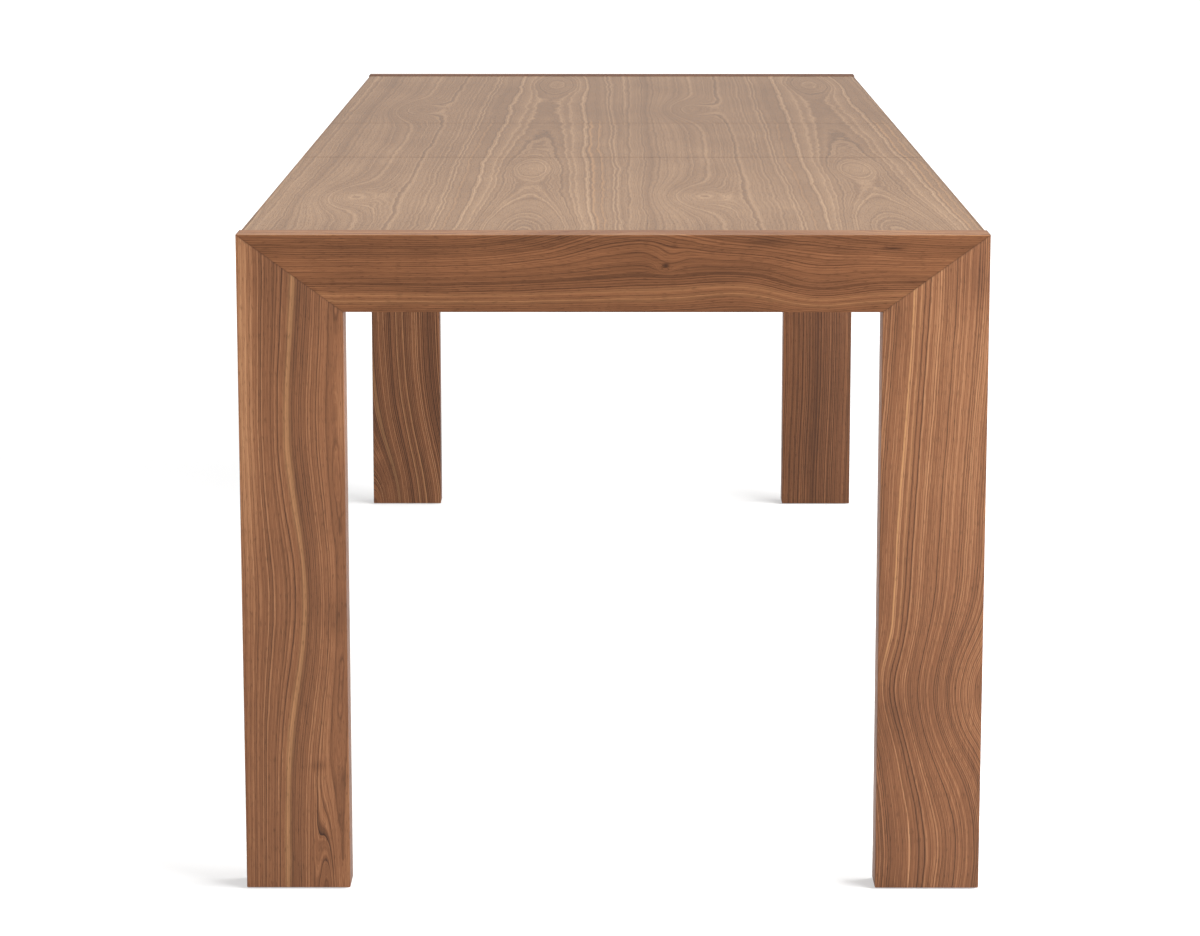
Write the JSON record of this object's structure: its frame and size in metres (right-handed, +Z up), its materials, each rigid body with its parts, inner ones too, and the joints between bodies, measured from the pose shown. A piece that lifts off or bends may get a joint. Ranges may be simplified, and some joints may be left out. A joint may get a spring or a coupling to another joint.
{
  "type": "extendable dining table",
  "caption": "Walnut dining table with mitred end frames, flush veneered tops, a drop-in leaf, geared extension slides, leaf locks and levelling feet.",
  "frame": {"origin": "on the floor under the middle of the table, open with its leaf in", "axes": "+Y along the table from the near end to the far end, +X across it to the right of someone at the near end looking along it, +Z up"},
  "size_m": [0.834, 2.327, 0.75],
  "materials": {
    "walnut_frame": "satin",
    "walnut_aprons": "satin",
    "walnut_veneer": "satin",
    "walnut_lippings": "satin",
    "beech": "satin",
    "steel": "satin",
    "brass": "satin",
    "nylon": "matte",
    "felt": "matte"
  },
  "bodies": {
    "near_half": {"near_rail": "walnut_frame", "near_leg_left": "walnut_frame", "near_leg_right": "walnut_frame", "near_mitre_dowels": "beech", "near_top_panel": "walnut_veneer", "near_top_lippings": "walnut_lippings", "near_apron_left": "walnut_aprons", "near_apron_right": "walnut_aprons", "near_glue_blocks": "beech", "near_frame_bracket": "steel", "near_frame_bolts": "steel", "near_inserts": "brass", "near_panel_screws": "steel", "near_slide_left": "beech", "near_slide_right": "beech", "near_racks": "steel", "near_seam_pins": "beech", "near_lock_plates": "steel"},
    "far_half": {"far_rail": "walnut_frame", "far_leg_left": "walnut_frame", "far_leg_right": "walnut_frame", "far_mitre_dowels": "beech", "far_top_panel": "walnut_veneer", "far_top_lippings": "walnut_lippings", "far_apron_left": "walnut_aprons", "far_apron_right": "walnut_aprons", "far_glue_blocks": "beech", "far_frame_bracket": "steel", "far_frame_bolts": "steel", "far_inserts": "brass", "far_panel_screws": "steel", "far_slide_left": "beech", "far_slide_right": "beech", "far_racks": "steel", "far_seam_pins": "beech", "far_lock_plates": "steel"},
    "centre_slides": {"centre_slide_left": "beech", "centre_slide_right": "beech", "centre_crossbars": "beech", "gear_pins": "steel"},
    "leaf": {"leaf_panel": "walnut_veneer", "leaf_lippings": "walnut_lippings", "leaf_apron_left": "walnut_aprons", "leaf_apron_right": "walnut_aprons", "leaf_seam_pins": "beech", "leaf_lock_plates": "steel", "leaf_felt_pads": "felt", "leaf_glue_blocks": "beech"},
    "pinion_left": {"pinion_left": "brass"},
    "pinion_right": {"pinion_right": "brass"},
    "near_lever": {"near_lock_lever": "brass"},
    "far_lever": {"far_lock_lever": "brass"},
    "leaf_lever_near": {"leaf_lock_lever_near": "brass"},
    "leaf_lever_far": {"leaf_lock_lever_far": "brass"},
    "leveller_near_left": {"leveller_near_left": "nylon"},
    "leveller_near_right": {"leveller_near_right": "nylon"},
    "leveller_far_left": {"leveller_far_left": "nylon"},
    "leveller_far_right": {"leveller_far_right": "nylon"}
  },
  "joints": [
    {"name": "extension", "type": "slide", "parent": "near_half", "child": "far_half", "axis": [0, 1, 0], "range_m": [-0.508, 0]},
    {"name": "centre_travel", "type": "slide", "parent": "near_half", "child": "centre_slides", "axis": [0, 1, 0], "range_m": [-0.254, 0]},
    {"name": "leaf_lift", "type": "slide", "parent": "centre_slides", "child": "leaf", "axis": [0, 0, 1], "range_m": [0, 0.6096]},
    {"name": "pinion_left_spin", "type": "hinge", "parent": "centre_slides", "child": "pinion_left", "pos_m": [-0.19, -0.0325, 0.7105], "axis": [0, 0, 1], "range_deg": [0, 1080]},
    {"name": "pinion_right_spin", "type": "hinge", "parent": "centre_slides", "child": "pinion_right", "pos_m": [0.19, -0.0325, 0.7105], "axis": [0, 0, 1], "range_deg": [0, 1080]},
    {"name": "near_lock", "type": "hinge", "parent": "near_half", "child": "near_lever", "pos_m": [0.29, -0.3045, 0.7175], "axis": [0, 0, 1], "range_deg": [0, 90]},
    {"name": "far_lock", "type": "hinge", "parent": "far_half", "child": "far_lever", "pos_m": [-0.29, 0.2395, 0.7175], "axis": [0, 0, 1], "range_deg": [0, 90]},
    {"name": "leaf_lock_near", "type": "hinge", "parent": "leaf", "child": "leaf_lever_near", "pos_m": [-0.29, -0.2685, 0.7175], "axis": [0, 0, 1], "range_deg": [0, 90]},
    {"name": "leaf_lock_far", "type": "hinge", "parent": "leaf", "child": "leaf_lever_far", "pos_m": [0.29, 0.2035, 0.7175], "axis": [0, 0, 1], "range_deg": [0, 90]},
    {"name": "leveller_near_left_height", "type": "slide", "parent": "near_half", "child": "leveller_near_left", "axis": [0, 0, -1], "range_m": [0, 0.01]},
    {"name": "leveller_near_right_height", "type": "slide", "parent": "near_half", "child": "leveller_near_right", "axis": [0, 0, -1], "range_m": [0, 0.01]},
    {"name": "leveller_far_left_height", "type": "slide", "parent": "far_half", "child": "leveller_far_left", "axis": [0, 0, -1], "range_m": [0, 0.01]},
    {"name": "leveller_far_right_height", "type": "slide", "parent": "far_half", "child": "leveller_far_right", "axis": [0, 0, -1], "range_m": [0, 0.01]}
  ],
  "couplings": [
    {"joint": "centre_travel", "follows": "extension", "ratio": 0.5},
    {"joint": "leaf_lift", "follows": "extension", "ratio": -1.2},
    {"joint": "pinion_left_spin", "follows": "extension", "rad_per_m": -37.037},
    {"joint": "pinion_right_spin", "follows": "extension", "rad_per_m": -37.037}
  ]
}
